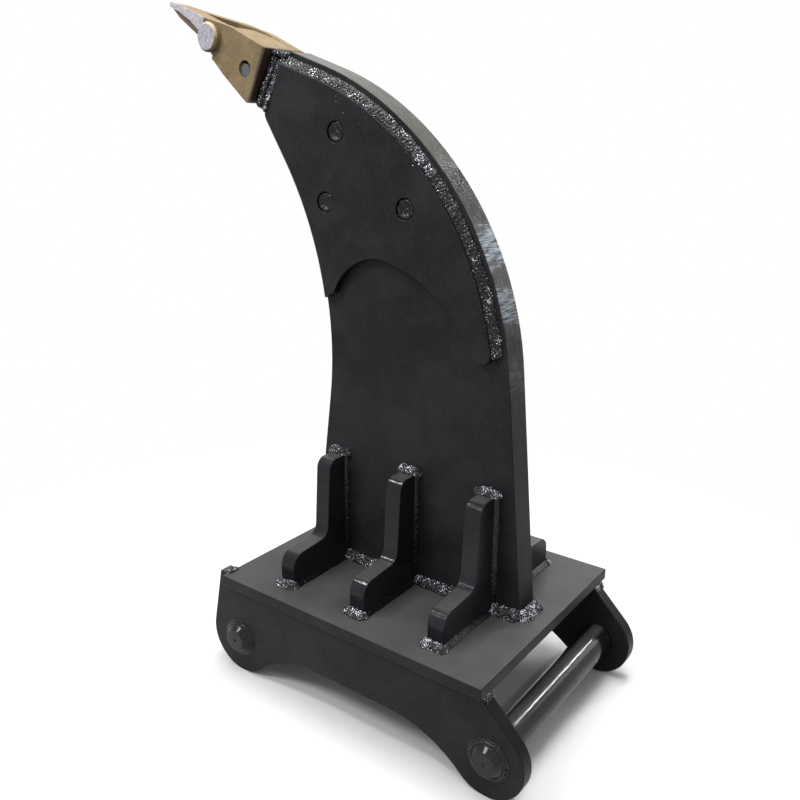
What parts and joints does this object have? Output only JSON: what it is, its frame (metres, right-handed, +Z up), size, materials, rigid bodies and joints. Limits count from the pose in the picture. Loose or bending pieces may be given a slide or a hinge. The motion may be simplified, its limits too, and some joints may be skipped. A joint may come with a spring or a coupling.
{
  "type": "ripper shank tooth",
  "caption": "Curved ripper shank with arched cheek plates, ribbed base plate and pinned coupler ears, tipped with a weld-on adapter and a pinned cast tooth.",
  "frame": {"origin": "centre of the bounding box at its bottom, on the surface that the pin ears stand on", "axes": "+Z up along the shank, away from the coupler; -X towards the tooth's tip; Y along the coupler pins"},
  "size_m": [0.7349, 0.364, 0.9654],
  "materials": {
    "black_paint": "satin black paint",
    "painted_weld": "black paint over rippled weld beads",
    "gold_paint": "matt tan gold paint on a casting, worn through on edges and wear pads",
    "bare_steel": "dull bare steel"
  },
  "bodies": {
    "root": {"shank_blade": "black_paint", "cheek_plate_near": "black_paint", "cheek_plate_far": "black_paint", "plug_welds_near": "painted_weld", "plug_welds_far": "painted_weld", "cheek_weld_near": "painted_weld", "cheek_weld_far": "painted_weld", "tooth_adapter": "black_paint", "adapter_weld": "painted_weld", "tooth": "gold_paint", "tooth_pin": "bare_steel", "tooth_pin_retainer": "bare_steel", "base_plate": "black_paint", "ear_near": "black_paint", "ear_far": "black_paint", "front_pin": "black_paint", "rear_pin": "black_paint", "pin_welds_near": "painted_weld", "pin_welds_far": "painted_weld", "gusset_near_front": "black_paint", "gusset_near_middle": "black_paint", "gusset_near_rear": "black_paint", "gusset_far_front": "black_paint", "gusset_far_middle": "black_paint", "gusset_far_rear": "black_paint", "gusset_welds_near": "painted_weld", "gusset_welds_far": "painted_weld", "blade_base_weld": "painted_weld", "ear_welds_near": "painted_weld", "ear_welds_far": "painted_weld"}
  },
  "joints": []
}
